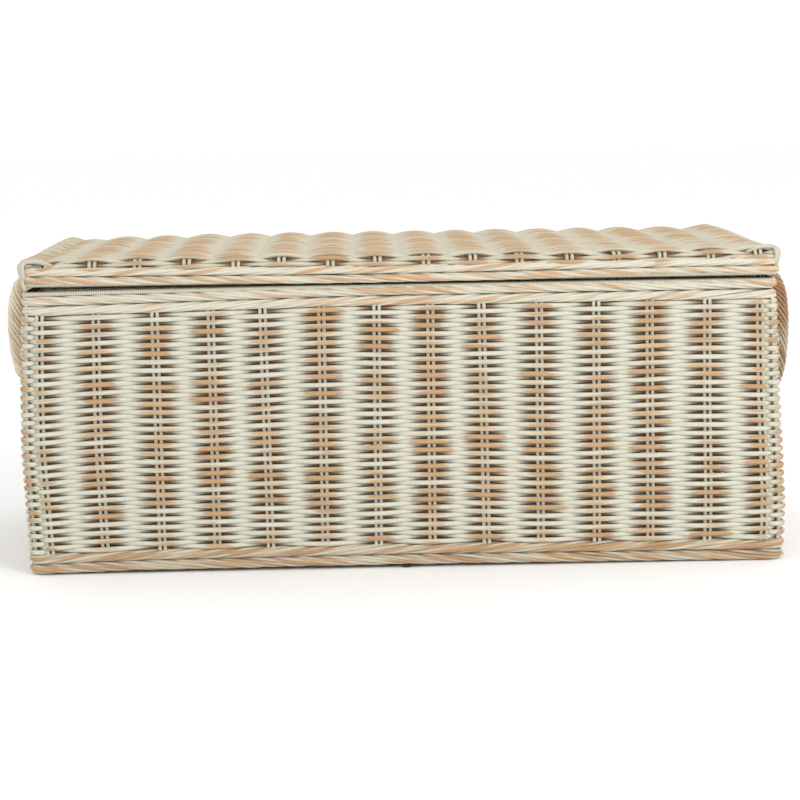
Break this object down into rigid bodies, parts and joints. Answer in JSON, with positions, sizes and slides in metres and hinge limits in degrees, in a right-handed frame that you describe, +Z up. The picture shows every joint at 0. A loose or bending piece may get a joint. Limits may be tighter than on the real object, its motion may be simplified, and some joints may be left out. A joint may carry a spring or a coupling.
{
  "type": "storage ottoman",
  "caption": "Long low seat woven from whitewashed rattan: an open trunk with braided borders, a handle on each end and a back-hinged lid that is the seat.",
  "frame": {"origin": "on the floor, under the middle of the trunk", "axes": "+Z up, +X along the length, -Y towards the front; the hinges are along the back, at +Y"},
  "size_m": [1.2054, 0.51, 0.47],
  "materials": {
    "whitewashed_rattan": "whitewashed, with bare rattan showing on the high spots",
    "binding_cane": "fine cane wound close round the rim poles, whitewashed",
    "rattan_pole": "peeled rattan pole",
    "zinc_plated_steel": "zinc plated",
    "rubber": "moulded"
  },
  "bodies": {
    "trunk": {"base_bearer_left": "rattan_pole", "base_bearer_right": "rattan_pole", "base_braid_back": "whitewashed_rattan", "base_braid_front": "whitewashed_rattan", "base_braid_left": "whitewashed_rattan", "base_braid_right": "whitewashed_rattan", "base_mat": "whitewashed_rattan", "bottom_rail_back": "rattan_pole", "bottom_rail_front": "rattan_pole", "bottom_rail_left": "rattan_pole", "bottom_rail_right": "rattan_pole", "corner_post_back_left": "rattan_pole", "corner_post_back_right": "rattan_pole", "corner_post_front_left": "rattan_pole", "corner_post_front_right": "rattan_pole", "foot_back_left": "rubber", "foot_back_middle": "rubber", "foot_back_right": "rubber", "foot_front_left": "rubber", "foot_front_middle": "rubber", "foot_front_right": "rubber", "handle_left": "whitewashed_rattan", "handle_right": "whitewashed_rattan", "hinge_body_leaf_left": "zinc_plated_steel", "hinge_body_leaf_right": "zinc_plated_steel", "hinge_body_screw_left_inner": "zinc_plated_steel", "hinge_body_screw_left_outer": "zinc_plated_steel", "hinge_body_screw_right_inner": "zinc_plated_steel", "hinge_body_screw_right_outer": "zinc_plated_steel", "hinge_pin_left": "zinc_plated_steel", "hinge_pin_right": "zinc_plated_steel", "top_braid_back": "whitewashed_rattan", "top_braid_front": "whitewashed_rattan", "top_braid_left": "whitewashed_rattan", "top_braid_right": "whitewashed_rattan", "top_rail_back": "binding_cane", "top_rail_front": "binding_cane", "top_rail_left": "binding_cane", "top_rail_right": "binding_cane", "wall_back": "whitewashed_rattan", "wall_front": "whitewashed_rattan", "wall_left": "whitewashed_rattan", "wall_right": "whitewashed_rattan"},
    "lid": {"hinge_lid_leaf_left": "zinc_plated_steel", "hinge_lid_leaf_right": "zinc_plated_steel", "hinge_lid_screw_left_inner": "zinc_plated_steel", "hinge_lid_screw_left_outer": "zinc_plated_steel", "hinge_lid_screw_right_inner": "zinc_plated_steel", "hinge_lid_screw_right_outer": "zinc_plated_steel", "lid_bearer_left": "rattan_pole", "lid_bearer_right": "rattan_pole", "lid_braid_back": "whitewashed_rattan", "lid_braid_front": "whitewashed_rattan", "lid_braid_left": "whitewashed_rattan", "lid_braid_right": "whitewashed_rattan", "lid_mat": "whitewashed_rattan", "lid_rail_back": "binding_cane", "lid_rail_front": "binding_cane", "lid_rail_left": "binding_cane", "lid_rail_right": "binding_cane"}
  },
  "joints": [
    {"name": "lid_hinge", "type": "hinge", "parent": "trunk", "child": "lid", "pos_m": [0, 0.2395, 0.423], "axis": [-1, 0, 0], "range_deg": [0, 100]}
  ]
}
